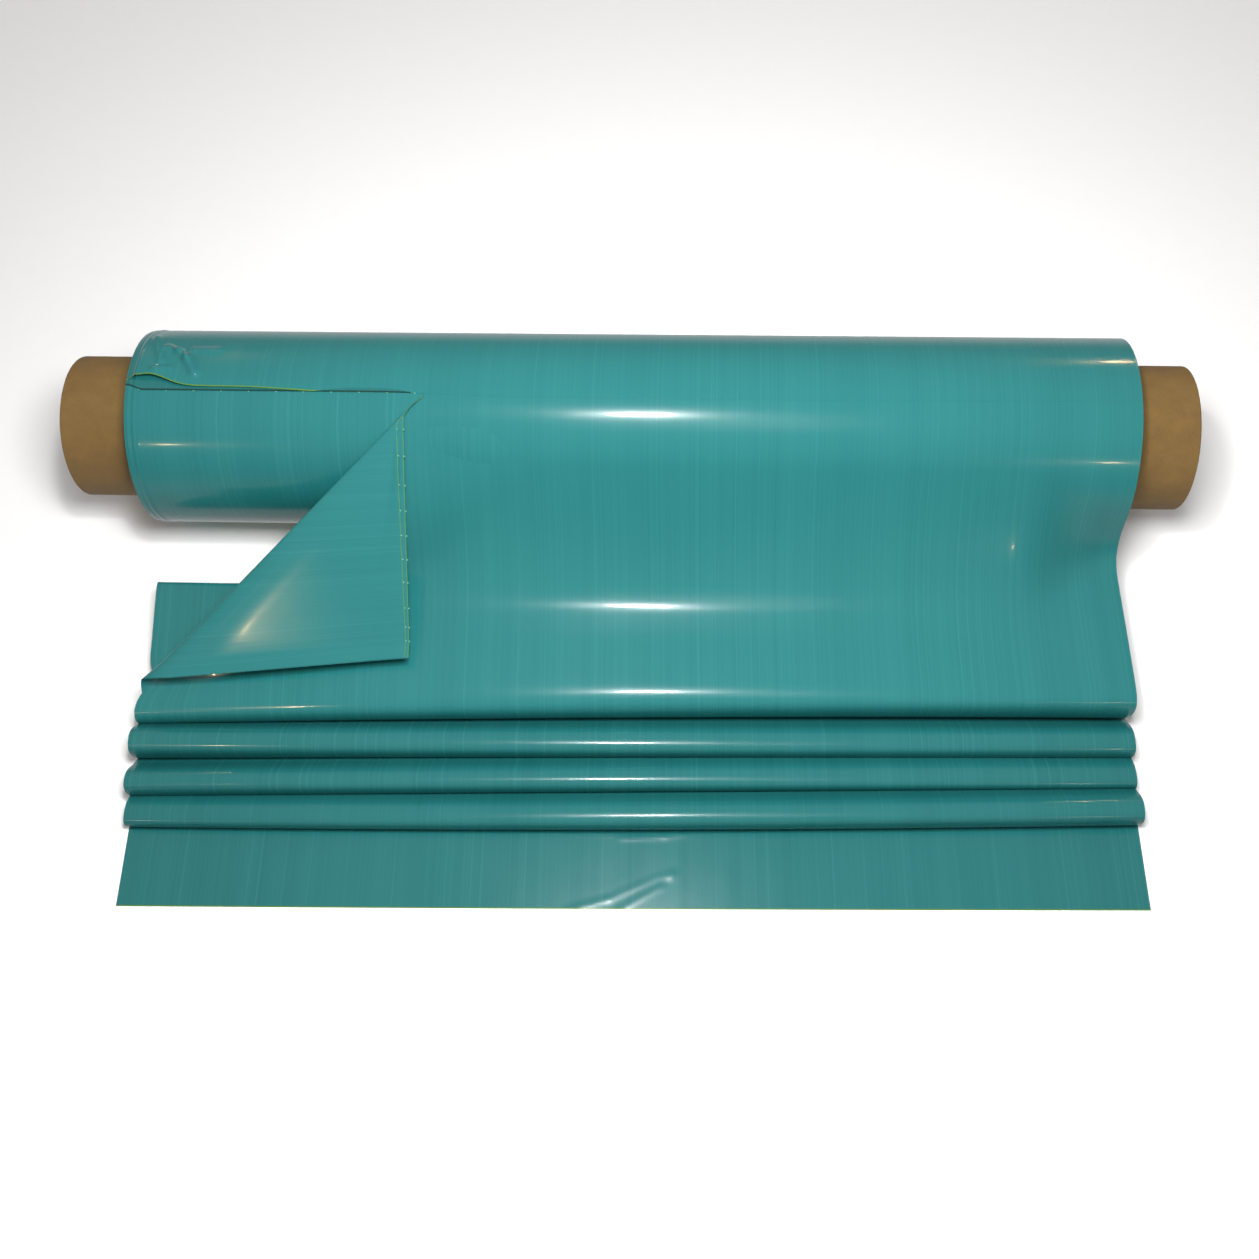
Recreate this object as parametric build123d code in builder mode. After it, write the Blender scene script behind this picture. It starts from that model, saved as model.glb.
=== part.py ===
from build123d import *
import os
from math import acos, atan2, cos, degrees, hypot, pi, radians, sin, tan

# Driving dimensions, mm and degrees.
# +X runs along the roll, -Y is the side where the film is drawn off, +Z is up from the floor.
film_width = 1200.0
film_thickness = 0.36           # two flattened walls of the tube
roll_diameter = 241.2
core_bore = 152.4
core_wall = 11.8
core_length = 1371.6
core_offset = 7.5               # how far the film sits off the middle of the core
wound_bags = 20                 # bags still wound on the roll, the torn one included
perforation_angle = 105.0       # from +Y towards +Z, where the first bag joins the next
wrap_lift = 0.45                # the first bag stands this proud of the turns under it
perforation_gap = 0.8           # width of the cut slots between two bags
tie_width = 2.0
tie_length = 0.5                # shorter than the slot is wide, so each tie stays clear of both bags
tie_pitch = film_width / 36
tear_length = 365.0             # torn stretch of the perforation, from the left edge
turning_clearance = 0.95        # between the last turn that stays and the first that turns
tape_thickness = 0.2
tape_width = 48.0
tape_length = 60.0
tape_places = {"left": -540.0, "middle": 0.0, "right": 540.0}   # from the middle of the film
core_rim = 2.0                  # rounding of the core's outer edges
winding_slack = 1.0             # room left round the core for the tape and the tail
layer_height = 1.6              # spacing of the folded panels where they lie flat
web_skew = 14.0                 # the drawn-off film lies this much askew at each edge
lead_reach = 578.0              # roll axis to the cut leading edge, in the middle
span_height = 61.0              # top panel above the floor
span_tilt = 5.0                 # the top panel is this much lower at the left edge
sweep_radius = 60.0             # the film turns from the roll towards the floor at this radius
fold_radius = 20.0              # and nowhere in the folds at more than this

# The folds in the side view: reach in front of the roll axis, then heights.
span_start = 172.0              # the film is clear of the roll from here
span_rise = 8.0                 # and this much higher here than at the nose
nose_reach = 356.0
nose_floor = 16.0               # underside of the nose
stack_reach = 330.0             # the panels lie flat on each other from here forwards
apron_start = 300.0             # the last panel is flat on the floor from here to the cut edge
pleats = [(402.0, 40.0, 28.0), (441.0, 27.0, 21.0), (487.0, 28.0, 24.0)]    # reach, height, width of top
pleat_foot = 28.0               # run of each pleat's rise behind its top
back_folds = [(184.0, 43.0, 32.5), (198.0, 28.5, 21.0), (190.0, 19.0, 11.5)]    # reach, top, underside
last_back_fold = (204.0, 9.0, film_thickness / 2)

# The folded-over corner, measured from the roll axis: reach forwards and height.
flap_left = -562.0
flap_right = -253.0
flap_top_reach = 46.0
flap_bottom_reach = 322.0
flap_tip_reach = 300.0
flap_slope = 32.5               # below the horizontal, tangent to the roll
flap_clearance = 2.0            # above the film on the roll
cut_floor = 49.5                # the corner is missing from the top panel only
cut_margin = 18.0               # how far the cut runs on past the fold's ends

roll_radius = roll_diameter / 2
core_radius = core_bore / 2 + core_wall
web_reach = lead_reach + web_skew
axis_y = (web_reach - roll_radius) / 2
axis_z = roll_radius
film_left = core_offset - film_width / 2
film_right = core_offset + film_width / 2
half = film_thickness / 2
wrap_radius = roll_radius + wrap_lift

os.makedirs("parts", exist_ok=True)


def finish(part, name):
    """Label a finished piece and write it."""
    part.label = name
    export_step(part, f"parts/{name}.step")


def at(reach, height):
    """A point of the side view, from its reach in front of the roll axis and its height."""
    return Vector(axis_y - reach, height)


def front_pleat(index):
    """Corners of a soft loop at the front: out in the flat stack, up, over the nose and back."""
    reach, height, top_width = pleats[index]
    low = (2 * (len(pleats) - index) - 1) * layer_height
    foot = reach - top_width - pleat_foot
    rise = [(stack_reach, low + layer_height), (foot, low + layer_height), (reach - top_width, height)]
    return rise + [(reach, height), (reach, low), (stack_reach, low)]


def back_fold(reach, high, low):
    """Corners of a loop at the back."""
    return [(reach, high), (reach, low)]


def folded_route(shift, tilt):
    """Side view of the drawn-off film, from the first free point to the start of the apron."""
    top = span_height + tilt
    corners = [(span_start, top + span_rise), (nose_reach, top), (nose_reach, nose_floor)]
    for index, fold in enumerate(back_folds):
        corners += back_fold(*fold)
        corners += front_pleat(index)
    corners += back_fold(*last_back_fold)
    corners += [(apron_start, half)]
    return [at(reach + shift, height) for reach, height in corners]


def turn_at(points, index):
    """Heading before a corner, heading after it, and the sense of the turn."""
    before = (points[index] - points[index - 1]).normalized()
    after = (points[index + 1] - points[index]).normalized()
    sense = 1 if before.cross(after).Z > 0 else -1
    return before, after, sense


def corner_radii(points):
    """The largest easy radius at each corner, kept under the span that the corner shares."""
    radii = []
    for index in range(1, len(points) - 1):
        before, after, _ = turn_at(points, index)
        half_turn = radians(before.get_angle(after)) / 2
        spans = [(points[index + step] - points[index]).length for step in (-1, 1)]
        largest = sweep_radius if index == 1 else fold_radius
        radii.append(min(largest, 0.47 * min(spans) / tan(half_turn)))
    return radii


def beside(points, gap):
    """The polyline that runs beside another, gap to its left."""
    heading = (points[1] - points[0]).normalized()
    moved = [points[0] + Vector(-heading.Y, heading.X) * gap]
    for index in range(1, len(points) - 1):
        before, after, _ = turn_at(points, index)
        middle = (before + after).normalized()
        moved.append(points[index] + Vector(-middle.Y, middle.X) * (gap / middle.dot(before)))
    heading = (points[-1] - points[-2]).normalized()
    return moved + [points[-1] + Vector(-heading.Y, heading.X) * gap]


def beside_radii(points, radii, gap):
    """Corner radii of the line beside a route, larger outside a turn and smaller inside."""
    return [radius - gap * turn_at(points, index + 1)[2] for index, radius in enumerate(radii)]


def leaving_angle(point, radius):
    """Angle on the roll where film pulled to a point leaves a given radius."""
    away_y, away_z = point.X - axis_y, point.Y - axis_z
    return degrees(atan2(away_z, away_y) % (2 * pi) - acos(radius / hypot(away_y, away_z)))


def on_circle(radius, angle):
    """A point of the side view, on a circle about the roll axis."""
    return Vector(axis_y + radius * cos(radians(angle)), axis_z + radius * sin(radians(angle)))


def web_route(shift, tilt):
    """Leaving angle, corners and radii of the first bag's middle line after the roll."""
    free = folded_route(shift, tilt)
    angle = leaving_angle(free[0], wrap_radius - half)
    points = [on_circle(wrap_radius - half, angle)] + free
    return angle, points, corner_radii(points)


def web_outline(shift, tilt):
    """Outline of the first bag seen from the side: round the roll, then down to the folds."""
    angle, points, radii = web_route(shift, tilt)
    start = perforation_angle + degrees(perforation_gap / 2 / roll_radius)
    wrap = angle - start
    outer = FilletPolyline(*beside(points, -half), radius=beside_radii(points, radii, -half))
    inner = FilletPolyline(*beside(points, half), radius=beside_radii(points, radii, half))
    CenterArc((axis_y, axis_z), wrap_radius, start, wrap)
    CenterArc((axis_y, axis_z), wrap_radius - film_thickness, start, wrap)
    Line(on_circle(wrap_radius, start), on_circle(wrap_radius - film_thickness, start))
    Line(outer @ 1, inner @ 1)


def web_length():
    """Length of the first bag along its middle line, which is every bag's length."""
    angle, points, radii = web_route(0, 0)
    with BuildLine() as route:
        FilletPolyline(*points, radius=radii)
    wrapped = radians(angle - perforation_angle) * (wrap_radius - half)
    return wrapped + route.wire().length + lead_reach - apron_start


bag_length = web_length()
inner_radius = core_radius + winding_slack
outer_area = pi * (roll_radius**2 - inner_radius**2)
wind_pitch = outer_area / (wound_bags * bag_length)
air = wind_pitch - film_thickness


def wound_radius(bags):
    """Outer radius of what is left of the roll once some wound bags are drawn off."""
    return (roll_radius**2 - bags * bag_length * wind_pitch / pi) ** 0.5


def make_wound_bag(number):
    """The turns of one bag, wound between its neighbours as a closed ring."""
    drawn_off = number - 2
    slip = turning_clearance if drawn_off == 1 else 0.0
    with BuildPart() as bag:
        with BuildSketch(Plane.YZ.offset(film_left)):
            with Locations((axis_y, axis_z)):
                Circle(wound_radius(drawn_off) - slip)
                Circle(wound_radius(drawn_off + 1) + air, mode=Mode.SUBTRACT)
        extrude(amount=film_width)
    return bag.part


def make_second_bag():
    """The outermost turns, whose outer face spirals in by one turn from the perforation."""
    slot = degrees(perforation_gap / 2 / roll_radius)
    start = perforation_angle - slot
    opposite = perforation_angle - 180
    step = on_circle(wind_pitch / 2, opposite)
    with BuildPart() as bag:
        with BuildSketch(Plane.YZ.offset(film_left)):
            with BuildLine():
                first = CenterArc((axis_y, axis_z), roll_radius, start, opposite - start)
                second = CenterArc(step, roll_radius - wind_pitch / 2, opposite, -180 - slot)
                Line(first @ 0, second @ 1)
            make_face()
            with Locations((axis_y, axis_z)):
                Circle(wound_radius(1) + air, mode=Mode.SUBTRACT)
        extrude(amount=film_width)
    return bag.part


def flap_point(x, reach):
    """A point of the folded-over corner, on a plane tangent to the roll."""
    slope = radians(flap_slope)
    distance = wrap_radius + flap_clearance
    height = axis_z + (distance - reach * sin(slope)) / cos(slope)
    return Vector(core_offset + x, axis_y - reach, height)


fold_top = flap_point(flap_right, flap_top_reach)
fold_bottom = flap_point(flap_left, flap_bottom_reach)
flap_tip = flap_point(flap_right, flap_tip_reach)


def fold_x(reach):
    """Where the diagonal fold crosses a given reach, in plan."""
    slope = (flap_left - flap_right) / (flap_bottom_reach - flap_top_reach)
    return core_offset + flap_right + slope * (reach - flap_top_reach)


def apron_corners():
    """Plan of the flat panel that ends at the cut edge."""
    edges = [(film_left, web_skew), (film_right, -web_skew)]
    back = [(x, axis_y - apron_start - shift) for x, shift in edges]
    front = [(x, axis_y - lead_reach - shift) for x, shift in reversed(edges)]
    return back + front


def make_leading_bag():
    """The first bag: off the roll, over four soft pleats and out to its cut edge."""
    beyond = film_left - cut_margin
    front = flap_bottom_reach + cut_margin
    with BuildPart() as bag:
        with BuildSketch(Plane.YZ.offset(film_left)):
            with BuildLine():
                web_outline(web_skew, -span_tilt)
            make_face()
        with BuildSketch(Plane.YZ.offset(film_right)):
            with BuildLine():
                web_outline(-web_skew, span_tilt)
            make_face()
        loft(ruled=True)
        with BuildSketch(Plane.XY):
            with BuildLine():
                Polyline(*apron_corners(), close=True)
            make_face()
        extrude(amount=film_thickness)
        with BuildSketch(Plane.XY.offset(cut_floor)):
            with BuildLine():
                Polyline(
                    (fold_x(-cut_margin), axis_y + cut_margin),
                    (fold_x(front), axis_y - front),
                    (beyond, axis_y - front),
                    (beyond, axis_y + cut_margin),
                    close=True,
                )
            make_face()
        extrude(amount=roll_diameter, mode=Mode.SUBTRACT)
    return bag.part


def make_flap():
    """The torn corner of the first bag, folded over the diagonal on to the top panel."""
    along = (fold_bottom - fold_top).normalized()
    normal = along.cross(flap_tip - fold_top).normalized()
    plane = Plane(origin=fold_top, x_dir=along, z_dir=normal)
    corners = [plane.to_local_coords(point) for point in (fold_top, fold_bottom, flap_tip)]
    with BuildPart() as flap:
        with BuildSketch(plane):
            with BuildLine():
                Polyline(*[(corner.X, corner.Y) for corner in corners], close=True)
            make_face()
        extrude(amount=half, both=True)
    return flap.part


def make_ties():
    """The uncut bridges that still hold the first bag to the next one."""
    count = int((film_width - tear_length) / tie_pitch)
    with BuildPart() as ties:
        with BuildSketch(Plane.YZ.offset(film_right - tie_pitch / 2 - (count - 1) * tie_pitch)):
            with BuildLine():
                spread = degrees(tie_length / 2 / roll_radius)
                first = perforation_angle - spread
                outer = CenterArc((axis_y, axis_z), roll_radius, first, 2 * spread)
                inner = CenterArc((axis_y, axis_z), roll_radius - film_thickness, first, 2 * spread)
                Line(outer @ 0, inner @ 0)
                Line(outer @ 1, inner @ 1)
            make_face()
        extrude(amount=tie_width)
        tie = ties.part
    places = [Pos(tie_pitch * index, 0, 0) for index in range(count)]
    return Compound([place * tie for place in places])


def make_core():
    """The paper core, open right through."""
    with BuildPart() as core:
        with BuildSketch(Plane.YZ.offset(-core_length / 2)):
            with Locations((axis_y, axis_z)):
                Circle(core_radius)
                Circle(core_bore / 2, mode=Mode.SUBTRACT)
        extrude(amount=core_length)
        rims = core.edges().filter_by(GeomType.CIRCLE).group_by(SortBy.RADIUS)[-1]
        fillet(rims, radius=core_rim)
    return core.part


def make_start_tape(middle):
    """One of the strips of tape that hold the tail of the last bag to the core."""
    spread = degrees(tape_width / core_radius)
    with BuildPart() as tape:
        with BuildSketch(Plane.YZ.offset(core_offset + middle - tape_length / 2)):
            with BuildLine():
                outer = CenterArc((axis_y, axis_z), core_radius + tape_thickness, 0, spread)
                inner = CenterArc((axis_y, axis_z), core_radius, 0, spread)
                Line(outer @ 0, inner @ 0)
                Line(outer @ 1, inner @ 1)
            make_face()
        extrude(amount=tape_length)
    return tape.part


finish(make_core(), "core")
for place, middle in tape_places.items():
    finish(make_start_tape(middle), f"start_tape_{place}")
finish(make_leading_bag(), "leading_bag")
finish(make_flap(), "torn_corner_flap")
finish(make_ties(), "perforation_ties")
finish(make_second_bag(), "second_bag")
for number in range(3, wound_bags + 2):
    finish(make_wound_bag(number), f"bag_{number:02d}")

print(f"bag length {bag_length:.1f}, wind pitch {wind_pitch:.4f}")
print(f"roll axis y {axis_y:.3f} z {axis_z:.3f}")
print(f"fold from {tuple(fold_top)} to {tuple(fold_bottom)}, tip {tuple(flap_tip)}")
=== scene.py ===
from math import cos, pi, radians, sin

import bpy
import numpy as np
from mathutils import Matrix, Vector


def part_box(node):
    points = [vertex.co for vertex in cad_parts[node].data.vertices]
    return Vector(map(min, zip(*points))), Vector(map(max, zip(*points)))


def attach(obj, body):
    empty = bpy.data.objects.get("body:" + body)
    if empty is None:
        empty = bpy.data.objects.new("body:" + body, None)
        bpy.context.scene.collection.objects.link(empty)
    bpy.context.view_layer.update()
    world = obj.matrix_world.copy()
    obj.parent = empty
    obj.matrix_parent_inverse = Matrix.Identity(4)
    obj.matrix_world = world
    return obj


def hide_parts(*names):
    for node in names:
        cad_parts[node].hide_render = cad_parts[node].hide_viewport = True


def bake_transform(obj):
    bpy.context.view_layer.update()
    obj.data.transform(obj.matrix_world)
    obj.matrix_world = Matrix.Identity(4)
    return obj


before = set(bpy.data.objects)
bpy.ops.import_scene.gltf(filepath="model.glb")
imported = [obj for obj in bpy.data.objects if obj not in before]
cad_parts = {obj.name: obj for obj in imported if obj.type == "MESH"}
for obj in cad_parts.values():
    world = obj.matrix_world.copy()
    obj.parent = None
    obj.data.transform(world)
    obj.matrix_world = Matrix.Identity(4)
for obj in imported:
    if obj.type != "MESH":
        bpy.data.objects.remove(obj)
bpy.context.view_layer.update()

MM = 0.001

# ---------------------------------------------------------------- places taken from the frame
second_low, second_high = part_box("second_bag")
core_low, core_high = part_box("core")
axis_y = (core_low.y + core_high.y) / 2
axis_z = (core_low.z + core_high.z) / 2
roll_radius = (second_high.z - second_low.z) / 2
core_radius = (core_high.z - core_low.z) / 2
film_middle = (second_low.x + second_high.x) / 2
film_width = second_high.x - second_low.x
half_width = film_width / 2

# ---------------------------------------------------------------- the film
film_thickness = 0.36 * MM          # both walls of the flattened tube
wall_thickness = 0.16 * MM
bag_length = 2.575
turn_pitch = 0.404 * MM             # from one turn on the roll to the next
inner_start = 10.0                  # the mouth's inner wall counts its length from here, so that its edge gets a painted shadow line and the whole wall the painted shade of far film
wrap_lift = 0.45 * MM               # the leading bag stands this proud of the turns under it
layer_gap = 0.02 * MM               # air between layers that lie on each other
slot_width = 0.12 * MM              # of the perforation, on the leading bag's side
tie_pitch = film_width / 36
first_stub = -0.597                 # no torn tie's stub is nearer the side edge than this
tear_end = -0.2376                  # where the torn stretch of the perforation ends
fold_run = -1.1196                  # the fold goes this far left for each metre forwards
fold_reach = 0.032                  # from the tear's end, in front of the roll axis


def smooth(value, low, high):
    """0 below low, 1 above high and an S-curve between."""
    share = np.clip((value - low) / (high - low), 0.0, 1.0)
    return share * share * (3 - 2 * share)


def bump(value, middle, spread):
    """1 at the middle, fading to 0 on both sides."""
    return np.exp(-(((value - middle) / spread) ** 2))


def mix(a, b, share):
    return a + (b - a) * share


def at(x, reach, height):
    """Points from their place across the film, reach in front of the roll axis, and height."""
    return np.stack(np.broadcast_arrays(x + film_middle, axis_y - reach, height), axis=-1)


def on_roll(x, elevation, radius):
    """Points on the roll, by elevation in degrees above the axis at the front."""
    angle = np.radians(elevation)
    return at(x, radius * np.cos(angle), axis_z + radius * np.sin(angle))


def perforation(across):
    """Elevation of the perforation on the roll: a little higher where the film is torn off."""
    torn = 1 - smooth(across, -0.30, -0.10)
    return 75.0 + 2.2 * torn + 3.0 * (1 - smooth(across, -0.60, -0.578)) + 1.2 * smooth(across, 0.3, 0.6)


# ---------------------------------------------------------------- meshes
def grid_faces(rows, columns):
    """Quads of a grid of points, row by row."""
    row = np.arange(rows - 1)[:, None]
    column = np.arange(columns - 1)[None, :]
    first = row * columns + column
    return np.stack([first, first + 1, first + columns + 1, first + columns], axis=-1).reshape(-1, 4)


def fringed(grid):
    """Add a narrow strip inside each edge, so that the rim's rounding stays out of the sheet's face."""
    for _ in range(2):
        inner = [mix(grid[0], grid[1], 0.03)[None], mix(grid[-1], grid[-2], 0.03)[None]]
        grid = np.concatenate([grid[:1], inner[0], grid[1:-1], inner[1], grid[-1:]]).swapaxes(0, 1)
    return grid


def grid_piece(name, points, film):
    """A sheet from rows and columns of points. film is across, along and edge distance at each point."""
    points = fringed(points)
    film = fringed(film)
    mesh = bpy.data.meshes.new(name)
    faces = grid_faces(*points.shape[:2])
    mesh.from_pydata(points.reshape(-1, 3).tolist(), [], faces.tolist())
    layer = mesh.attributes.new("film", "FLOAT_VECTOR", "POINT")
    layer.data.foreach_set("vector", film.reshape(-1, 3).astype(np.float32).ravel())
    mesh.shade_smooth()
    mesh.update()
    piece = bpy.data.objects.new(name, mesh)
    bpy.context.scene.collection.objects.link(piece)
    return piece


def thicken(piece, thickness, offset=0.0):
    """Give a sheet its thickness, with a rim."""
    solidify = piece.modifiers.new("thickness", "SOLIDIFY")
    solidify.thickness = thickness
    solidify.offset = offset


def film_values(across, along, edge):
    return np.stack(np.broadcast_arrays(across, along, edge), axis=-1)


# ---------------------------------------------------------------- materials
def node_material(name):
    material = bpy.data.materials.new(name)
    material.use_nodes = True
    tree = material.node_tree
    return material, tree, tree.nodes["Principled BSDF"]


def add(tree, kind, **settings):
    """A new node, with its settings and the defaults or links of its inputs."""
    node = tree.nodes.new(kind)
    for key, value in settings.items():
        if key == "inputs":
            continue
        setattr(node, key, value)
    for key, value in settings.get("inputs", {}).items():
        if isinstance(value, bpy.types.NodeSocket):
            tree.links.new(value, node.inputs[key])
        else:
            node.inputs[key].default_value = value
    return node


def maths(tree, operation, a, b=0.0, c=0.0):
    return add(tree, "ShaderNodeMath", operation=operation, inputs={0: a, 1: b, 2: c}).outputs[0]


def scaled(tree, vector, scale):
    node = add(tree, "ShaderNodeVectorMath", operation="MULTIPLY", inputs={0: vector, 1: scale})
    return node.outputs[0]


def noise(tree, vector, detail=1.0, roughness=0.5):
    """Noise about zero, between about -1 and 1."""
    node = add(tree, "ShaderNodeTexNoise", noise_dimensions="2D",
               inputs={"Vector": vector, "Scale": 1.0, "Detail": detail, "Roughness": roughness})
    return maths(tree, "MULTIPLY_ADD", node.outputs["Fac"], 4.0, -2.0)


def tint(tree, base, other, factor):
    node = add(tree, "ShaderNodeMix", data_type="RGBA", inputs={"Factor": factor})
    for socket, value in (("A_Color", base), ("B_Color", other)):
        target = next(s for s in node.inputs if s.identifier == socket)
        if isinstance(value, bpy.types.NodeSocket):
            tree.links.new(value, target)
        else:
            target.default_value = value
    return next(s for s in node.outputs if s.identifier == "Result_Color")


def fade(tree, value, start, end, first=0.0, last=1.0):
    """An S-curve from first to last as the value goes from start to end."""
    return add(tree, "ShaderNodeMapRange", interpolation_type="SMOOTHSTEP",
               inputs={0: value, 1: start, 2: end, 3: first, 4: last}).outputs[0]


def film_streaks(tree, place):
    """Streaks of several widths along the film, and the middling ones alone."""
    fine = noise(tree, scaled(tree, place, (420, 1.1, 0)), 2.0)
    middling = noise(tree, scaled(tree, place, (75, 0.6, 0)), 1.0)
    broad = noise(tree, scaled(tree, place, (17, 0.35, 0)), 1.0)
    lines = noise(tree, scaled(tree, place, (330, 0.5, 0)), 0.0)
    lines = maths(tree, "POWER", maths(tree, "MAXIMUM", lines, 0.0), 5.0)
    streaks = maths(tree, "MULTIPLY_ADD", fine, 0.14, maths(tree, "MULTIPLY", middling, 0.07))
    streaks = maths(tree, "MULTIPLY_ADD", broad, 0.10, streaks)
    return maths(tree, "MULTIPLY_ADD", lines, 0.12, streaks), middling


def film_material():
    """Glossy polyethylene: streaked, with painted shade that darkens it away from the roll, a painted shadow
    line along the mouth's inner edge, and yellow-green at cut edges.
    """
    material, tree, shader = node_material("film")
    place = add(tree, "ShaderNodeAttribute", attribute_name="film").outputs["Vector"]
    parts = add(tree, "ShaderNodeSeparateXYZ", inputs={0: place}).outputs
    streaks, middling = film_streaks(tree, place)
    cloudy = noise(tree, scaled(tree, place, (9, 9, 0)), 2.0)
    streaks = maths(tree, "MULTIPLY_ADD", cloudy, 0.04, streaks)
    shade = maths(tree, "ADD", streaks, 0.5)
    colour = tint(tree, (0.009, 0.131, 0.134, 1), (0.021, 0.178, 0.178, 1), shade)
    rim = fade(tree, parts["Z"], 0.5 * MM, 2.1 * MM, 1.0, 0.0)
    colour = tint(tree, colour, (0.10, 0.22, 0.02, 1), rim)
    # painted shade: the film is darkened as its length from the perforation grows (from 0.35 to 0.9 m), in
    # place of the light falling off towards the pleats and the last panel; the mouth's inner wall, whose
    # length values start at inner_start, is darkened all over the same way
    painted_falloff_shade = fade(tree, parts["Y"], 0.35, 0.9)
    colour = tint(tree, colour, tint(tree, (0, 0, 0, 1), colour, 0.83), painted_falloff_shade)
    # painted shadow: a dark line along the edge of the mouth's inner wall, in place of the shade in the gap
    # under the lifted outer wall
    painted_gap_shadow = fade(tree, parts["Y"], inner_start - 2.8 * MM, inner_start - 1.0 * MM)
    colour = tint(tree, colour, (0.002, 0.035, 0.03, 1), painted_gap_shadow)
    tree.links.new(colour, shader.inputs["Base Color"])
    rough = maths(tree, "MULTIPLY_ADD", middling, 0.012, 0.21)
    tree.links.new(maths(tree, "MULTIPLY_ADD", cloudy, 0.012, rough), shader.inputs["Roughness"])
    shader.inputs["Specular IOR Level"].default_value = 0.36
    shader.inputs["Coat Weight"].default_value = 0.3
    shader.inputs["Coat Roughness"].default_value = 0.07
    waves = maths(tree, "MULTIPLY_ADD", noise(tree, scaled(tree, place, (230, 3, 0)), 1.0), 1.0,
                  maths(tree, "MULTIPLY", noise(tree, scaled(tree, place, (24, 24, 0)), 1.0), 9.0))
    relief = add(tree, "ShaderNodeBump", inputs={"Strength": 1.0, "Distance": 0.003 * MM, "Height": waves})
    tree.links.new(relief.outputs[0], shader.inputs["Normal"])
    shader.inputs["IOR"].default_value = 1.5
    return material


def board_material():
    """Brown paperboard tube: mottled fibre, faint spiral joints, and ply lines on its ends."""
    material, tree, shader = node_material("core_board")
    place = add(tree, "ShaderNodeTexCoord").outputs["Object"]
    parts = add(tree, "ShaderNodeSeparateXYZ", inputs={0: place}).outputs
    up = maths(tree, "SUBTRACT", parts["Z"], axis_z)
    back = maths(tree, "SUBTRACT", parts["Y"], axis_y)
    turn = maths(tree, "ARCTAN2", up, back)
    radius = maths(tree, "SQRT", maths(tree, "ADD", maths(tree, "MULTIPLY", up, up),
                                       maths(tree, "MULTIPLY", back, back)))
    girth = maths(tree, "MULTIPLY", turn, core_radius)
    surface = add(tree, "ShaderNodeCombineXYZ", inputs={0: parts["X"], 1: girth}).outputs[0]
    fibres = noise(tree, scaled(tree, surface, (300, 620, 0)), 3.0, 0.65)
    mottle = noise(tree, scaled(tree, surface, (45, 60, 0)), 3.0, 0.6)
    patches = noise(tree, scaled(tree, surface, (9, 14, 0)), 2.0)
    seam = maths(tree, "MULTIPLY_ADD", turn, -0.5 / pi, maths(tree, "MULTIPLY", parts["X"], 7.2))
    seam = maths(tree, "ABSOLUTE", maths(tree, "SUBTRACT", maths(tree, "FRACT", seam), 0.5))
    seam = add(tree, "ShaderNodeMapRange", inputs={0: seam, 1: 0.0, 2: 0.006, 3: 1.0, 4: 0.0}).outputs[0]
    plies = maths(tree, "SINE", maths(tree, "MULTIPLY", radius, 2 * pi / (0.55 * MM)))
    outside = maths(tree, "GREATER_THAN", radius, core_radius - 0.3 * MM)
    ends = maths(tree, "MULTIPLY", maths(tree, "SUBTRACT", 1.0, outside), plies)
    shade = maths(tree, "MULTIPLY_ADD", fibres, 0.13, maths(tree, "MULTIPLY_ADD", mottle, 0.16, 0.5))
    shade = maths(tree, "MULTIPLY_ADD", patches, 0.13, shade)
    shade = maths(tree, "MULTIPLY_ADD", ends, 0.16, shade)
    shade = maths(tree, "MULTIPLY_ADD", seam, -0.2, shade)
    colour = tint(tree, (0.125, 0.068, 0.019, 1), (0.215, 0.13, 0.041, 1), shade)
    tree.links.new(colour, shader.inputs["Base Color"])
    tree.links.new(maths(tree, "MULTIPLY_ADD", mottle, 0.05, 0.72), shader.inputs["Roughness"])
    height = maths(tree, "MULTIPLY_ADD", fibres, 0.5, maths(tree, "MULTIPLY", seam, -3.0))
    relief = add(tree, "ShaderNodeBump", inputs={"Strength": 0.6, "Distance": 0.06 * MM, "Height": height})
    tree.links.new(relief.outputs[0], shader.inputs["Normal"])
    return material


def tape_material():
    """Crinkled cream paper tape."""
    material, tree, shader = node_material("paper_tape")
    place = add(tree, "ShaderNodeTexCoord").outputs["Object"]
    crinkle = noise(tree, scaled(tree, place, (150, 900, 0)), 2.0)
    shade = maths(tree, "MULTIPLY_ADD", crinkle, 0.25, 0.5)
    colour = tint(tree, (0.56, 0.49, 0.35, 1), (0.72, 0.66, 0.5, 1), shade)
    tree.links.new(colour, shader.inputs["Base Color"])
    relief = add(tree, "ShaderNodeBump", inputs={"Distance": 0.05 * MM, "Height": crinkle})
    tree.links.new(relief.outputs[0], shader.inputs["Normal"])
    shader.inputs["Roughness"].default_value = 0.7
    return material


def stretched_material():
    """The pale, stretched film of the ties and of what is left of the torn ones."""
    material, tree, shader = node_material("stretched_film")
    place = add(tree, "ShaderNodeTexCoord").outputs["Object"]
    speckle = noise(tree, scaled(tree, place, (900, 900, 0)), 2.0)
    shade = maths(tree, "MULTIPLY_ADD", speckle, 0.3, 0.5)
    colour = tint(tree, (0.04, 0.22, 0.14, 1), (0.2, 0.42, 0.27, 1), shade)
    tree.links.new(colour, shader.inputs["Base Color"])
    shader.inputs["Roughness"].default_value = 0.3
    return material


film_look = film_material()
board_look = board_material()
tape_look = tape_material()
stretched_look = stretched_material()


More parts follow.
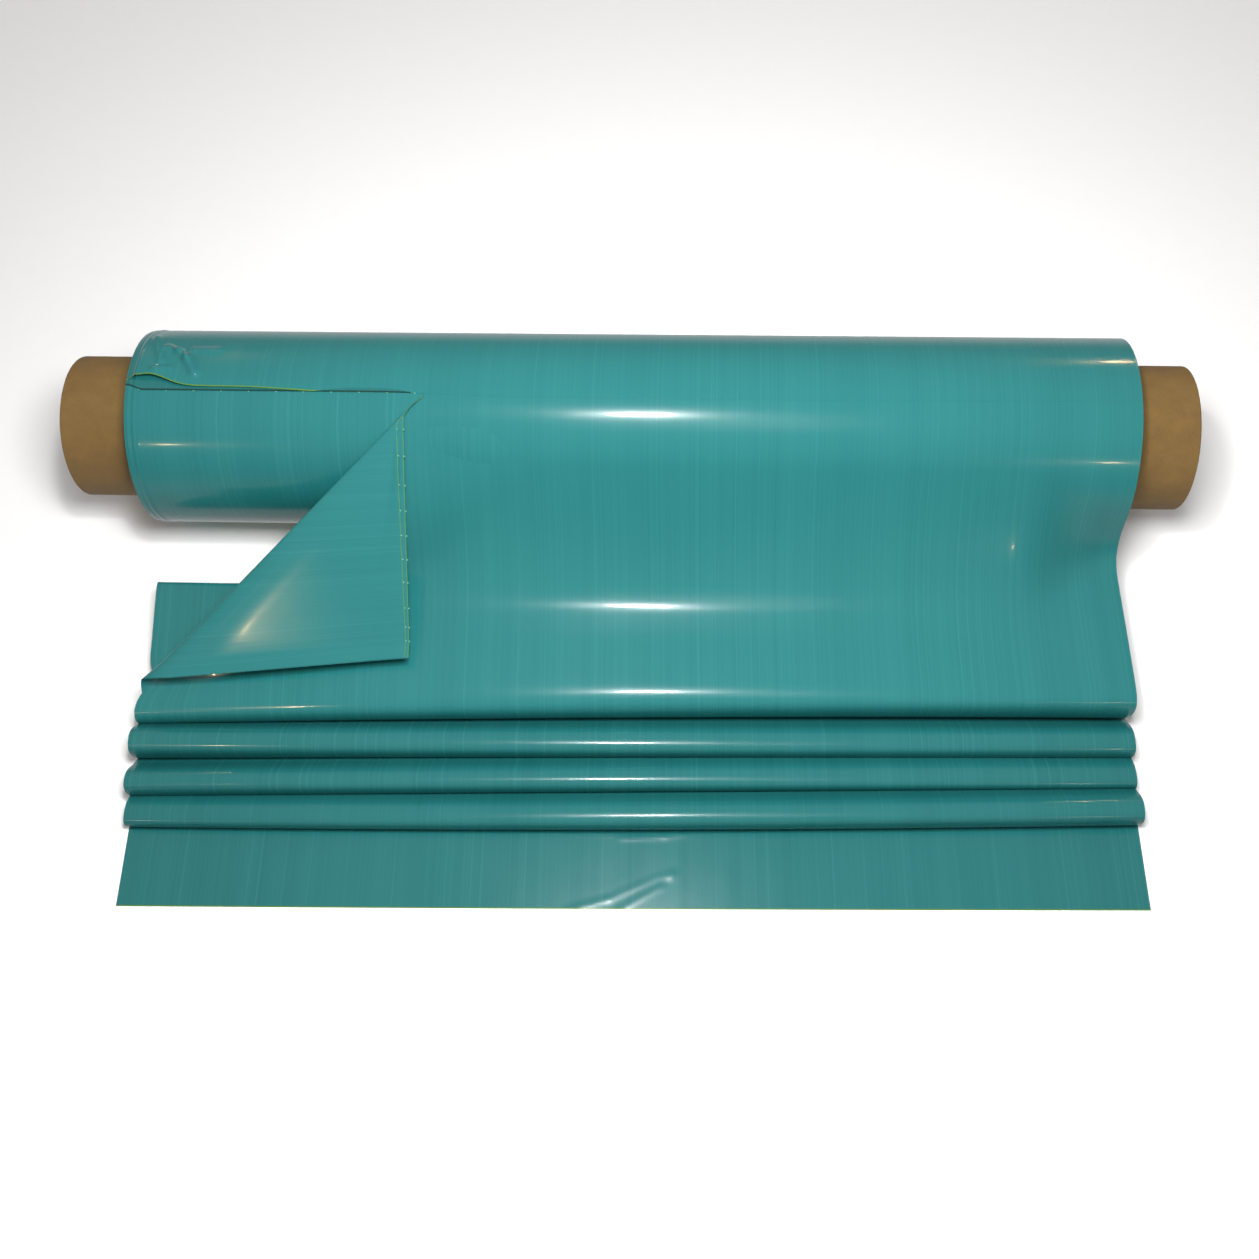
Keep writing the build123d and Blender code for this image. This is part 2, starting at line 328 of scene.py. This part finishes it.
# ---------------------------------------------------------------- the leading bag
# Each set of three is for the left edge, the middle and the right edge of the film.
# Pairs are reach in front of the axis and height, in mm.
LEAVING = (57.5, 36.0, 12.0)        # elevation in degrees at which the film leaves the roll
SPAN_JOIN = ((300, 72.4), (228, 75.2), (170, 66))   # where the free span has settled
SPAN_SLOPE = (-0.637, -0.26, 0.0)   # and its slope there
SPAN_PULL = ((0.32, 0.42), (0.30, 0.33), (0.40, 0.46))  # length of its two handles, as shares of the gap
NOSE = [                            # the first bend, from the span down to the pleats
    ((322, 58.4), (258, 70), (240, 68)),
    ((346, 51), (332, 63.4), (316, 69)),
    ((367, 46), (350, 57), (336, 66)),
    ((373, 30), (352, 32), (340, 40)),
    ((367, 13), (345, 13), (334, 13)),
]
PLEAT_NOSE = [(414, 397, 384), (461, 440, 421), (497, 486, 465)]    # reach of the front bends
PLEAT_CREST = [(50, 38, 40), (42, 32, 25), (24, 31, 35)]            # and their height
PLEAT_TOP = [26, 22, 24]            # the crest starts this far behind the bend
PLEAT_FOOT = 28                     # and rises over this run
BACK_FOLDS = [(180, 45, 32.5), (194, 29, 20), (186, 19, 11), (200, 9, 0.3)]    # reach, top and bottom
BACK_RUN = 262                      # reach of the middle of the runs to the back folds
STACK_REACH = 326                   # the pleats lie flat on each other behind this
LAYER = 1.7                         # height of one layer of them
LEAD_REACH = (591, 578, 563)        # reach of the cut edge
FLOOR_GAP = 0.3                     # the last panel lies this high, at its middle
# Wrinkles of the last panel: start and end across and in front of the axis, height and width, mm.
WRINKLES = [
    ((-55, 581), (-8, 567), 0.24, 3.2),
    ((-8, 567), (52, 538), 0.2, 3.2),
    ((-1, 583), (53, 551), 0.24, 3.2),
    ((63, 538), (66, 535), 0.5, 4),
    ((4, 493), (56, 490), 0.3, 3.2),
    ((56, 490), (80, 486), 0.3, 3.2),
]
WRINKLED_PANEL = 0.17               # the wrinkles lie this near the cut edge, m
WRINKLED_SPAN = (-0.08, 0.09)       # columns stand closer here, m

column_step = 8 * MM
row_step = 3 * MM
span_softness = 7.7 * MM            # how far the film's stiffness rounds its corners
drift = 0.0285                      # the drawn-off film runs this much askew, per metre
drift_start = 0.1
curl_pull = 18 * MM                 # the folded corner draws the film's edge in by this much
curl_pull_reach = 0.323             # at this reach
curl_pull_spread = 0.022
wrap_rows = 60                      # rows on the roll
span_rows = 70                      # rows from the roll to where the free span has settled
settled_run = 25 * MM               # length that the rows of the run after that are counted from
torn_rows = 170                     # rows from the perforation to where every column is whole


def span_mix(values, across):
    """Between the values in the middle and at the right edge."""
    return mix(float(values[1]), float(values[2]), smooth(across, 0.46, 0.6))


def fold_mix(values, across):
    """Between the values at the left, middle and right, along one gentle curve."""
    left, middle, right = [np.asarray(value, float) for value in values]
    s = across / half_width
    return left * s * (s - 1) / 2 + middle * (1 - s * s) + right * s * (s + 1) / 2


def same(value):
    return (value, value, value)


def fold_corners(across):
    """Corners of every column's folded route after the nose, as (reach, height) arrays in mm."""
    corners = []
    count = len(PLEAT_NOSE)
    for index, (reach, high, low) in enumerate(BACK_FOLDS):
        above = (2 * (count - index) + 0.6) * LAYER
        corners += [(same(BACK_RUN), same((above + high) / 2)), (same(reach), same(high))]
        corners += [(same(reach), same(low))]
        if index == count:
            break
        layer = (2 * (count - index) - 1) * LAYER
        corners += [(same(BACK_RUN), same((low + layer) / 2 + 1)), (same(STACK_REACH), same(layer + LAYER))]
        nose, crest, top = PLEAT_NOSE[index], PLEAT_CREST[index], PLEAT_TOP[index]
        foot = tuple(value - top - PLEAT_FOOT for value in nose)
        shoulder = tuple(value - top for value in nose)
        corners += [(foot, same(layer + LAYER)), (shoulder, crest), (nose, tuple(0.94 * c for c in crest))]
        corners += [(nose, same(layer)), (same(STACK_REACH), same(layer))]
    corners += [(same(BACK_RUN), same(1.5)), (same(STACK_REACH), same(FLOOR_GAP))]
    corners += [(LEAD_REACH, same(FLOOR_GAP))]
    return [(fold_mix(reach, across) * MM, fold_mix(height, across) * MM) for reach, height in corners]


def bezier(start, handle_a, handle_b, end, count):
    """Points of a cubic curve between arrays of 2-D points, the last one left out."""
    t = np.linspace(0, 1, count, endpoint=False)[:, None, None]
    ends = (1 - t) ** 3 * start + t**3 * end
    return ends + 3 * t * (1 - t) ** 2 * handle_a + 3 * t * t * (1 - t) * handle_b


def straight_part(start, end, count):
    """A number of points from start to end, the last one left out."""
    t = np.linspace(0, 1, count, endpoint=False)[:, None, None]
    return start * (1 - t) + end * t


def straight_run(start, end, step):
    """Points a step apart from start to end. All columns get the same number."""
    middle = start.shape[0] // 2
    count = max(2, int(np.linalg.norm(end[middle] - start[middle]) / step))
    return straight_part(start, end, count)


def soften(route, softness, amount):
    """Round a route as stiff film would, by a moving average along it."""
    steps = int(3 * softness / row_step)
    offsets = np.arange(-steps, steps + 1)
    weights = np.exp(-0.5 * (offsets * row_step / softness) ** 2)
    weights /= weights.sum()
    padded = np.pad(route, ((steps, steps), (0, 0), (0, 0)), mode="reflect", reflect_type="odd")
    smoothed = sum(w * padded[steps + o: steps + o + len(route)] for w, o in zip(weights, offsets))
    return route + (smoothed - route) * amount


def span_route(across, values):
    """Wrap and free span of every column, from its leaving elevation, corners, slope and handles."""
    leaving, join, slope, pulls, nose = values
    radius = roll_radius + wrap_lift
    slot = np.degrees(slot_width / roll_radius)
    turns = np.linspace(0, 1, wrap_rows, endpoint=False)[:, None]
    elevation = np.radians((perforation(across) - slot) * (1 - turns) + leaving * turns)
    wrap = np.stack([radius * np.cos(elevation), axis_z + radius * np.sin(elevation)], axis=-1)
    leave = np.radians(leaving)
    start = np.stack([radius * np.cos(leave), axis_z + radius * np.sin(leave)], axis=-1)
    heading = np.stack([np.sin(leave), -np.cos(leave)], axis=-1)
    arrival = np.stack([np.ones_like(slope), slope], axis=-1)
    arrival /= np.linalg.norm(arrival, axis=-1, keepdims=True)
    gap = np.linalg.norm(join - start, axis=-1)[:, None]
    handles = start + heading * gap * pulls[:, :1], join - arrival * gap * pulls[:, 1:]
    span = bezier(start, *handles, join, span_rows)
    return np.concatenate([wrap, span, straight_part(join, nose, int(settled_run / row_step))])


def span_values(across, mixer):
    """What span_route needs, mixed from the values at the left, middle and right."""
    def single(values):
        return mixer(values, across) + 0 * across

    def pairs(values, scale):
        return np.stack([single([value[i] for value in values]) for i in (0, 1)], -1) * scale

    return single(LEAVING), pairs(SPAN_JOIN, MM), single(SPAN_SLOPE), pairs(SPAN_PULL, 1), pairs(NOSE[0], MM)


def leading_route(across):
    """Side-view points of every column, from the perforation to the cut edge, in metres.

    Left of the fold the film is stretched flat under the corner. The rest hangs in its own curve."""
    folded = span_route(across, span_values(across, lambda values, _: values[0]))
    smooth_side = span_route(across, span_values(across, span_mix))
    reach = (folded[..., 0] + smooth_side[..., 0]) / 2
    share = smooth(across[None, :], fold_at(reach) + 0.005, fold_at(reach) + 0.20)[..., None]
    span = folded + (smooth_side - folded) * share
    corners = []
    for corner in NOSE[1:]:
        corners.append(np.stack([fold_mix([value[i] for value in corner], across) for i in (0, 1)], -1) * MM)
    corners += [np.stack(corner, axis=-1) for corner in fold_corners(across)]
    nose = span[-1] + (span[-1] - span[-2])
    corners = [nose] + corners
    runs = [straight_run(a, b, row_step) for a, b in zip(corners, corners[1:])]
    free = np.concatenate([span[wrap_rows:]] + runs + [corners[-1][None]])
    distance = np.arange(len(free)) * row_step
    amount = smooth(distance, 0.12, 0.22) * (1 - smooth(distance, distance[-1] - 0.06, distance[-1]))
    free = soften(free, span_softness, amount[:, None, None])
    return np.concatenate([span[:wrap_rows], free])


def across_at(across, reach):
    """Where a line of the film lies at a reach: askew, and drawn in by the folded corner."""
    at_the_edge = 1 - smooth(across, -0.6, -0.48)
    pulled = curl_pull * bump(reach, curl_pull_reach, curl_pull_spread) * at_the_edge
    return across + drift * np.clip(reach - drift_start, 0, None) + pulled


def fold_at(reach):
    """Where the folded corner's diagonal crosses a reach."""
    return tear_end + fold_run * (reach - fold_reach)


def lengths(route):
    steps = np.linalg.norm(np.diff(route, axis=0), axis=-1)
    return np.concatenate([np.zeros((1, route.shape[1])), np.cumsum(steps, axis=0)])


def fold_crossing(across, route, along):
    """How far along every column the diagonal fold is: 0 to the right of the tear's end."""
    gap = across_at(across[None, :], route[..., 0]) - fold_at(route[..., 0])
    crossing = np.zeros(len(across))
    for column in np.nonzero(across < tear_end)[0]:
        index = np.argmax(gap[:, column] > 0)
        before, after = gap[index - 1, column], gap[index, column]
        crossing[column] = mix(along[index - 1, column], along[index, column], before / (before - after))
    return crossing


def resample(route, along, places):
    """Points of every column at given lengths along it."""
    columns = range(route.shape[1])
    return np.stack([np.stack([np.interp(places[:, c], along[:, c], route[:, c, i]) for i in (0, 1)], -1)
                     for c in columns], axis=1)


def segment_distance(x, reach, start, end):
    """Distance in mm from a wrinkle's line."""
    (x0, r0), (x1, r1) = start, end
    dx, dr = x1 - x0, r1 - r0
    share = np.clip(((x / MM - x0) * dx + (reach / MM - r0) * dr) / (dx * dx + dr * dr), 0, 1)
    return np.hypot(x / MM - x0 - share * dx, reach / MM - r0 - share * dr)


def make_leading_bag():
    columns = int(film_width / column_step) + 1
    across = np.linspace(-half_width, half_width, columns)
    between = (across[:-1] + across[1:]) / 2
    wrinkled = (between > WRINKLED_SPAN[0]) & (between < WRINKLED_SPAN[1])
    across = np.sort(np.append(across, between[wrinkled]))
    route = leading_route(across)
    along = lengths(route)
    crossing = fold_crossing(across, route, along)
    whole = along[torn_rows]
    share = np.linspace(0, 1, torn_rows, endpoint=False)[:, None]
    places = np.concatenate([crossing + (whole - crossing) * share, along[torn_rows:]])
    route = resample(route, along, places)
    reach, height = route[..., 0], route[..., 1]
    x = across_at(across[None, :], reach)
    last_panel = places > along[-1] - WRINKLED_PANEL
    for start, end, rise, width in WRINKLES:
        away = segment_distance(x, reach, start, end)
        height = height + last_panel * rise * MM * np.exp(-((away / width) ** 2))
    points = at(x, reach, height)
    piece = grid_piece("leading_bag_film", points, film_values(across[None, :], places, along[-1] - places))
    thicken(piece, film_thickness)
    piece.data.materials.append(film_look)
    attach(piece, "web")
    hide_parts("leading_bag")


# ---------------------------------------------------------------- the folded corner
curl_least = 1.5 * MM               # radius of the curl at the tear's end
curl_most = 9.5 * MM                # and at the film's side edge
flap_slope = radians(32.5)          # the film falls away from the roll at this slope
flap_rest = 2.6 * MM                # the corner lies this far above the film under it
torn_edge = -0.2615                 # the torn edge once folded over, across the film
torn_edge_lean = 0.0063             # and this much further right at its far end
flap_columns = 90
curl_ease = 14 * MM                 # the upper half of the curl is this much wider than a half circle
curl_steps = 40
ramp_start = 45 * MM                # over which the corner begins to slope down from its curl
corner_drawn_up = 11.5 * MM         # the corner's tip lies this much further up than a square fold
corner_belly = 0.8 * MM             # and the corner bulges this much between curl and torn edge
torn_edge_rise = 2.5 * MM           # and its torn edge lifts
shortest_run = 0.6 * MM             # from the curl to the torn edge, where the fold begins
torn_reach = (0.077, 0.303)         # reach of the torn edge's near and far end


def flap_frame():
    """Unit vectors: along the fold, outwards from it in the film's plane, and off the film."""
    down = np.array([0, cos(flap_slope), -sin(flap_slope)])
    side = np.array([1.0, 0, 0])
    off = np.array([0, sin(flap_slope), cos(flap_slope)])
    fold = fold_run * side + down / cos(flap_slope)
    fold /= np.linalg.norm(fold)
    outwards = -np.cross(off, fold)
    if outwards[0] > 0:
        outwards = -outwards
    return fold, outwards, off, down


def eased_ramp(distance):
    """A steady slope that starts gently."""
    share = np.clip(distance / ramp_start, 0, 1)
    return ramp_start * (share**3 - share**4 / 2) + np.clip(distance - ramp_start, 0, None)


def flap_wall(name, lift, short_top, short_end):
    """One wall of the folded-over corner: round the curl, then flat over the top panel."""
    across = np.linspace(tear_end - 0.5 * MM, -half_width, flap_columns)
    route = leading_route(across)
    along = lengths(route)
    crossing = fold_crossing(across, route, along)
    foot = resample(route, along, crossing[None, :])[0]
    base = np.stack([across_at(across, foot[:, 0]), foot[:, 0], foot[:, 1]], axis=-1)
    share = (tear_end - across) / (tear_end + half_width)
    radius = mix(curl_least, curl_most, share ** 1.3)[:, None]
    fold, outwards, off, down = flap_frame()
    lean = -fold @ -down
    climb = abs(lean) / np.sqrt(1 - lean * lean)
    turned = (pi * mix(0.3, 1.0, smooth(share, 0.0, 0.09)))[:, None]
    angle = np.linspace(0, 1, curl_steps)[None, :] * turned
    wide = radius + curl_ease * smooth(share, 0.05, 0.5)[:, None]
    swing = np.where(angle < pi / 2, radius * np.sin(angle), radius - wide * (1 - np.sin(angle)))
    swing = swing + lift * np.sin(angle)
    height = radius - (radius + lift) * np.cos(angle)
    advance = lengths(np.stack([swing.T, height.T], axis=-1)).T * climb
    curled = base[:, None, :] - fold * advance[..., None]
    curled = curled + outwards * swing[..., None] + off * height[..., None]
    end = curled[:, -1]
    heading = end - curled[:, -2]
    heading /= np.linalg.norm(heading, axis=-1, keepdims=True)
    lean_share = np.clip((end[:, 1] - torn_reach[0]) / (torn_reach[1] - torn_reach[0]), 0, 1)
    short = mix(short_top, short_end, share)
    run = (torn_edge + torn_edge_lean * lean_share - short - end[:, 0]) / heading[:, 0]
    run = np.where(share < 0.05, shortest_run, np.maximum(run, shortest_run))
    step = np.linspace(0, 1, 60)[1:]
    flown = run[:, None] * step[None, :]
    straight = end[:, None, :] + heading[:, None, :] * flown[..., None]
    settle = (eased_ramp(flown) / eased_ramp(run)[:, None]) * smooth(share, 0.05, 0.2)[:, None]
    droop = np.clip(2 * radius - flap_rest, 0, None) * settle
    belly = corner_belly * np.sin(pi * step)[None, :] * smooth(share, 0.2, 0.6)[:, None]
    rise = torn_edge_rise * smooth(step, 0.8, 1.0)[None, :] * smooth(share, 0.1, 0.3)[:, None]
    straight += off * (belly + rise - droop)[..., None]
    drawn_up = corner_drawn_up * step[None, :] * smooth(share, 0.4, 1.0)[:, None]
    straight -= down * drawn_up[..., None]
    cloud = np.concatenate([curled, straight], axis=1)
    points = at(cloud[..., 0], cloud[..., 1], cloud[..., 2])
    used = np.linspace(0, 1, cloud.shape[1])[None, :]
    to_edge = [run[:, None] + radius * (turned - angle) * 1.4, run[:, None] - flown]
    torn = np.concatenate(to_edge, axis=1) + 0.7 * MM
    film = film_values(across[:, None], crossing[:, None] * (1 - used), torn)
    piece = grid_piece(name, points, film)
    thicken(piece, wall_thickness)
    piece.data.materials.append(film_look)
    start = at(*base[0])
    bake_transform(piece)
    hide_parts("torn_corner_flap")
    return points


# ---------------------------------------------------------------- the second bag
def mouth_setback(across):
    """How far the outer wall's edge is drawn back from the perforation."""
    eased = 4.5 * (1 - smooth(across, -0.47, -0.345))
    return (eased + 12.5 * bump(across, -0.572, 0.030) - 3 * bump(across, -0.6, 0.01)) * MM


# Creases of the crumpled corner: start and end across and degrees, height and width, mm.
CREASES = [
    ((-557, 107), (-542, 103), 4.2, 5),
    ((-542, 103), (-530, 97.6), 4.8, 5),
    ((-530, 97.6), (-518, 88), 5.2, 6),
    ((-578, 117), (-560, 95), 2.6, 4.5),
    ((-526, 106), (-496, 106.5), 2.4, 6),
    ((-566, 89), (-548, 90), 2.2, 4.5),
]


def crumple(across, elevation):
    """Height of the outer wall off the roll at its pulled-open corner."""
    reach_back = (elevation - 80) / 30
    dome = 6.5 * bump(across, -0.572, 0.034) * np.exp(-np.clip(reach_back, 0, None) ** 2 * 1.4)
    ridge = 0.0
    arc = elevation * pi / 180 * roll_radius
    for (x0, e0), (x1, e1), rise, width in CREASES:
        ends = ((x0, e0 * pi / 180 * roll_radius / MM), (x1, e1 * pi / 180 * roll_radius / MM))
        ridge = ridge + rise * np.exp(-((segment_distance(across, arc, *ends) / width) ** 2))
    shoulder = 3.0 * bump(across, -0.577, 0.02) * bump(elevation, 112, 14)
    lip = 2.2 * (1 - smooth(across, -0.47, -0.33)) * bump(elevation, 80, 9)
    return (dome + ridge + shoulder + lip) * MM * smooth(across, -0.6, -0.585)


def end_ridges(across):
    """The film's side folds stand up as fine ridges near the roll's left end."""
    fall = -0.9 * (1 - smooth(across, -0.6, -0.584))
    beads = 0.9 * (bump(across, -0.5955, 0.0024) + bump(across, -0.588, 0.0024))
    return (fall + beads) * MM


def second_bag_wall(name, outer):
    rim = np.arange(-half_width, -0.58, 1 * MM)
    left = np.arange(-0.58, -0.47, 2.5 * MM)
    middle = np.arange(-0.47, 0.57, 13 * MM)
    right = np.linspace(0.57, half_width, 8)
    across = np.concatenate([rim, left, middle, right])[None, :]
    near = np.arange(0, 0.12, 2.5 * MM)
    turn = np.arange(0.12, 0.8, 6.5 * MM)
    inside = np.linspace(0.8, bag_length, 150)
    along = np.concatenate([near, turn, inside])[:, None]
    setback = mouth_setback(across) if outer else 0.0
    used = along + setback * (1 - smooth(along, 0.0, 0.5))
    turns = used / (2 * pi * roll_radius)
    elevation = perforation(across) + 0.06 + 360 * turns
    radius = roll_radius - turn_pitch * turns - layer_gap
    radius = radius + end_ridges(across) * (1 - smooth(turns, 1.2, 2.6))
    if outer:
        radius = radius + crumple(across, elevation) * (turns < 0.5)
    else:
        lip = 0.7 * MM * np.exp(-along / (4 * MM)) * (1 - smooth(across, tear_end - 0.05, tear_end))
        radius = radius - wall_thickness - layer_gap + lip
    points = on_roll(across, elevation, radius)
    whole = 0.3 * smooth(across, tear_end - 0.03, tear_end + 0.005)
    # The inner wall's length values start at inner_start: this gives it the painted darkening shade all over
    # and a painted shadow line along its edge.
    film = film_values(across, (0.0 if outer else inner_start) - along, along + (whole if outer else 0.3))
    piece = grid_piece(name, points, film)
    thicken(piece, wall_thickness, 1.0)
    piece.data.materials.append(film_look)
    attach(piece, "web")
    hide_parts("second_bag")


# ---------------------------------------------------------------- the bags still wound
def make_wound_bag(name):
    """One bag's turns, as a spiral of film with slightly uneven edges."""
    low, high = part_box(name)
    outside = (high.z - low.z) / 2 - 0.2 * MM
    drawn = (roll_radius ** 2 - outside ** 2) * pi / turn_pitch
    rows = int(bag_length / (outside * radians(3.2)))
    along = np.linspace(0, bag_length, rows)[:, None]
    radius = np.sqrt(outside ** 2 - along * turn_pitch / pi)
    here = np.sqrt(roll_radius ** 2 - (drawn + along) * turn_pitch / pi)
    turned = 2 * pi / turn_pitch * (roll_radius - here)
    uneven = 0.5 * np.sin(0.31 * turned) + 0.35 * np.sin(0.83 * turned + 1)
    uneven = uneven + 0.3 * np.sin(0.117 * turned + 2)
    near_edge = half_width - 3 * MM
    across = np.array([-half_width, -near_edge, 0, near_edge, half_width])[None, :]
    moved = across + uneven * MM * np.abs(across) / half_width
    points = on_roll(moved, 75 + np.degrees(turned), radius)
    piece = grid_piece(name + "_film", points, film_values(across, along, 0.3))
    thicken(piece, film_thickness)
    piece.data.materials.append(film_look)
    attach(piece, "roll")
    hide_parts(name)


# ---------------------------------------------------------------- what is left of the torn ties
def stubs(name, places, headings, ups, body):
    """Short stretched tags standing out from a torn edge."""
    corners, faces = [], []
    for place, heading, up in zip(places, headings, ups):
        side = np.cross(heading, up)
        base = len(corners)
        for out, width, thick in ((-0.6, 1.1, 0.25), (0.7, 0.9, 0.25), (1.6, 0.5, 0.15)):
            for a, b in ((-1, -1), (1, -1), (1, 1), (-1, 1)):
                corners.append(place + heading * out * MM + side * a * width * MM + up * b * thick * MM)
        for ring in (0, 4):
            for k in range(4):
                n = (k + 1) % 4
                faces.append([base + ring + k, base + ring + n, base + ring + 4 + n, base + ring + 4 + k])
        faces.append([base + 3, base + 2, base + 1, base])
        faces.append([base + 8, base + 9, base + 10, base + 11])
    mesh = bpy.data.meshes.new(name)
    mesh.from_pydata([tuple(corner) for corner in corners], [], faces)
    mesh.shade_smooth()
    piece = bpy.data.objects.new(name, mesh)
    bpy.context.scene.collection.objects.link(piece)
    piece.data.materials.append(stretched_look)
    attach(piece, body)


def tie_places(low, high):
    first = np.arange(-half_width + tie_pitch / 2, half_width, tie_pitch)
    return first[(first > low) & (first < high)]


def make_mouth_stubs():
    """Stubs along the lower wall of the second bag's mouth."""
    across = tie_places(first_stub, tear_end)
    elevation = perforation(across) + 0.2
    places = on_roll(across, elevation, roll_radius + 0 * across)
    angle = np.radians(elevation)
    ups = np.stack([0 * angle, -np.cos(angle), np.sin(angle)], axis=-1)
    headings = np.stack([0 * angle, -np.sin(angle), -np.cos(angle)], axis=-1)
    stubs("mouth_stubs", places, headings, ups, "web")


def make_flap_stubs(name, points):
    """Stubs along a torn edge of the folded-over corner."""
    edge, before = points[:, -1], points[:, -3]
    across = np.linspace(tear_end - 0.5 * MM, -half_width, flap_columns)
    places, headings, ups = [], [], []
    off = Vector((0, -sin(flap_slope), cos(flap_slope)))
    for wanted in tie_places(first_stub, tear_end - 0.03):
        index = int(np.argmin(np.abs(across - wanted)))
        heading = edge[index] - before[index]
        places.append(edge[index])
        headings.append(heading / np.linalg.norm(heading))
        ups.append(np.array(off))
    stubs(name, places, headings, ups, "flap")


# ---------------------------------------------------------------- stage, light and camera
def make_floor():
    mesh = bpy.data.meshes.new("floor")
    size = 40.0
    corners = [(-size, -size, 0), (size, -size, 0), (size, size, 0), (-size, size, 0)]
    mesh.from_pydata(corners, [], [(0, 1, 2, 3)])
    floor = bpy.data.objects.new("floor", mesh)
    bpy.context.scene.collection.objects.link(floor)
    material, tree, shader = node_material("floor")
    place = add(tree, "ShaderNodeTexCoord").outputs["Object"]
    grain = maths(tree, "MULTIPLY_ADD", noise(tree, scaled(tree, place, (40, 40, 0)), 3.0), 0.2, 0.5)
    colour = tint(tree, (0.93, 0.93, 0.93, 1), (0.95, 0.95, 0.95, 1), grain)
    tree.links.new(colour, shader.inputs["Base Color"])
    shader.inputs["Roughness"].default_value = 0.8
    mesh.materials.append(material)
    floor.visible_glossy = False


def add_light(data, place, target, power, colour):
    """A light aimed from its place at its target, and not seen itself."""
    data.energy = power
    data.color = colour
    light = bpy.data.objects.new(data.name, data)
    light.location = place
    light.rotation_euler = (Vector(target) - Vector(place)).to_track_quat("-Z", "Y").to_euler()
    light.visible_camera = False
    bpy.context.scene.collection.objects.link(light)
    return light


def area_light(name, place, target, size, power, colour, size_y=None):
    data = bpy.data.lights.new(name, "AREA")
    data.size = size
    if size_y:
        data.shape = "RECTANGLE"
        data.size_y = size_y
    return add_light(data, place, target, power, colour)


def spot_light(name, place, target, power, colour):
    data = bpy.data.lights.new(name, "SPOT")
    data.spot_size = radians(7.5)
    data.spot_blend = 0.5
    data.shadow_soft_size = 0.035
    return add_light(data, place, target, power, colour)


def make_world():
    """A pale room: bright overhead and dimmer towards the horizon, with a pale ground for reflections."""
    world = bpy.data.worlds.new("world")
    world.use_nodes = True
    tree = world.node_tree
    background = tree.nodes["Background"]
    heading = add(tree, "ShaderNodeTexCoord").outputs["Generated"]
    up = add(tree, "ShaderNodeSeparateXYZ", inputs={0: heading}).outputs["Z"]
    sky = fade(tree, up, 0.05, 0.95, 0.24, 0.50)
    ground = fade(tree, up, -0.35, 0.0, 0.32, 0.0)
    level = maths(tree, "ADD", sky, ground)
    tree.links.new(level, background.inputs["Strength"])
    background.inputs["Color"].default_value = (1, 1, 1, 1)
    bpy.context.scene.world = world


def make_light():
    """A small key for the highlight, a soft fill that isn't mirrored, and warm lamps all round."""
    make_world()
    white, warm = (1, 1, 1), (1.0, 0.68, 0.36)
    area_light("key", (-0.0295, axis_y - 0.355, 1.5), (-0.0295, axis_y - 0.3, 0), 0.12, 6, white, 0.09)
    fill = area_light("fill", (0.13, axis_y - 0.52, 1.42), (0.1, axis_y - 0.1, 0), 0.5, 23, white, 0.4)
    fill.visible_glossy = False
    left, right, lamp = (-0.5, -0.16, 0.05), (0.5, -0.16, 0.05), 0.05
    area_light("lamp_left", (-1.55, -2.02, 1.75), left, lamp, 1.1, warm)
    area_light("lamp_back_left", (-1.27, axis_y + 1.75, 1.1), (-0.5, axis_y, 0.2), lamp, 1.1, warm)
    area_light("lamp_back_right", (1.13, axis_y + 1.75, 1.1), (0.5, axis_y, 0.2), lamp, 1.1, warm)
    corner = (-0.4885, axis_y - 0.275, 0.079)
    spot_light("lamp_corner", (-1.1414, axis_y - 1.832, 2.185), corner, 18, warm)
    area_light("lamp_right", (1.32, -2.18, 1.42), right, lamp, 1.1, warm)


def make_camera():
    data = bpy.data.cameras.new("camera")
    data.sensor_width = 36
    data.lens = 40.45
    data.clip_start = 0.05
    camera = bpy.data.objects.new("camera", data)
    camera.location = (0.09615, axis_y - 1.00197, 1.61344)
    camera.rotation_euler = (0.4534078, 0.0345632, 0.0368537)
    bpy.context.scene.collection.objects.link(camera)
    bpy.context.scene.camera = camera
    bpy.context.scene.view_settings.view_transform = "Standard"


def carry_over(name, look):
    """A CAD node whose shape is right gets a better material."""
    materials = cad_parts[name].data.materials
    materials.clear()
    materials.append(look)


make_leading_bag()
lower_edge = flap_wall("corner_lower_wall", 0.0, 0.0, 0.0)
upper_edge = flap_wall("corner_upper_wall", 0.45 * MM, 8.0 * MM, 3.6 * MM)
make_flap_stubs("corner_lower_stubs", lower_edge)
make_flap_stubs("corner_upper_stubs", upper_edge)
second_bag_wall("second_bag_inner_wall", False)
second_bag_wall("second_bag_outer_wall", True)
make_mouth_stubs()
for node in sorted(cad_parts):
    if node.startswith("bag_"):
        make_wound_bag(node)
    if node.startswith("start_tape"):
        carry_over(node, tape_look)
carry_over("core", board_look)
carry_over("perforation_ties", stretched_look)

make_floor()
make_light()
make_camera()
